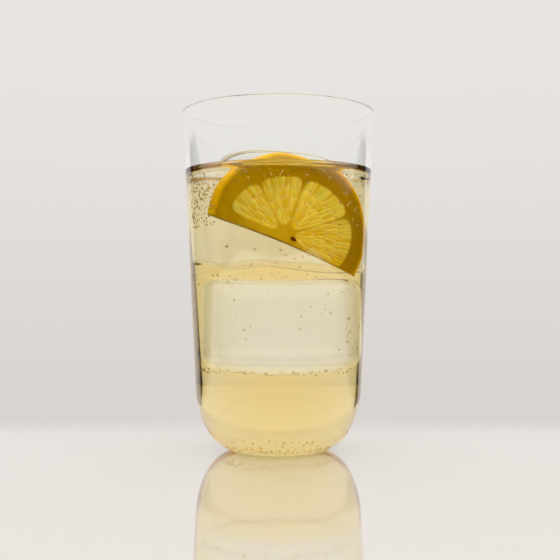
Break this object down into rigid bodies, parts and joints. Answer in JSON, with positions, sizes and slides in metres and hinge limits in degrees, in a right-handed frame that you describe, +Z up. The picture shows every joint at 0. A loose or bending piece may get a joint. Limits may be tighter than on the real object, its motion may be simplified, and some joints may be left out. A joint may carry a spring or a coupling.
{
  "type": "glass of highball",
  "caption": "Thin tapered tumbler with a rounded foot, filled with a pale yellow sparkling drink over ice, with a half wheel of lemon leaning inside.",
  "frame": {"origin": "middle of the tumbler's foot, on the surface that it stands on", "axes": "+Z up along the tumbler's axis; the lemon's cut face looks towards -Y"},
  "size_m": [0.08, 0.08, 0.141],
  "materials": {
    "glass": "clear, thin, fire-polished at the rim",
    "drink": "clear pale yellow liquid with fine bubbles and clear ice",
    "lemon": "wet cut lemon: oily yellow peel, thick pith and juicy flesh"
  },
  "bodies": {
    "root": {"glass": "glass", "drink": "drink", "lemon_slice": "lemon"}
  },
  "joints": []
}
